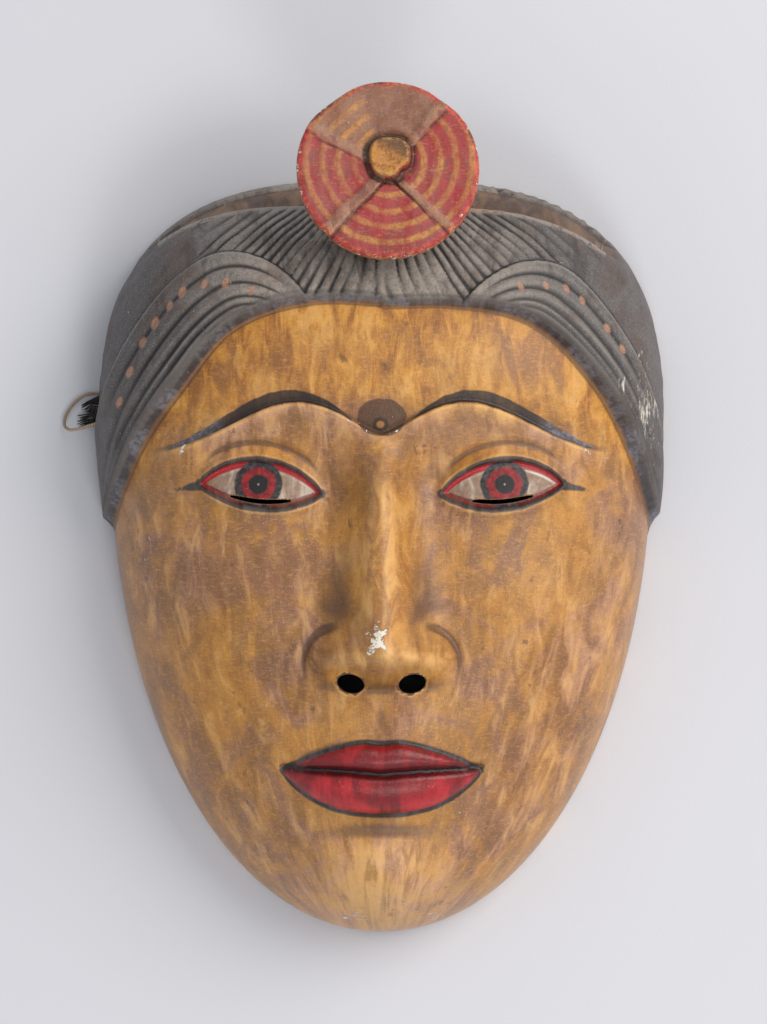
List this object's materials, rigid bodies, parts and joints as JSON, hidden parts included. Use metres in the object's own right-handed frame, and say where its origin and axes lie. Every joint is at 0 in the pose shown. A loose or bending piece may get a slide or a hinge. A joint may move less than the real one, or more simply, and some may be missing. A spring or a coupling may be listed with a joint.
{
  "type": "carved wooden dance mask",
  "caption": "Carved and painted wooden face mask with a calm human face, black carved hair, a round hair ornament and a head cord tied at the temples.",
  "frame": {"origin": "on the rim plane, under the middle of the mask's own box", "axes": "+Z the way the face looks, +Y towards the top of the head, +X towards the viewer's right when facing the mask"},
  "size_m": [0.1529, 0.2128, 0.0682],
  "materials": {
    "painted_wood": "varnished old paint, satin",
    "dark_cord": "matte",
    "plant_twine": "matte"
  },
  "bodies": {
    "root": {"mask": "painted_wood", "head_strap": "dark_cord", "twine_left": "plant_twine"}
  },
  "joints": []
}
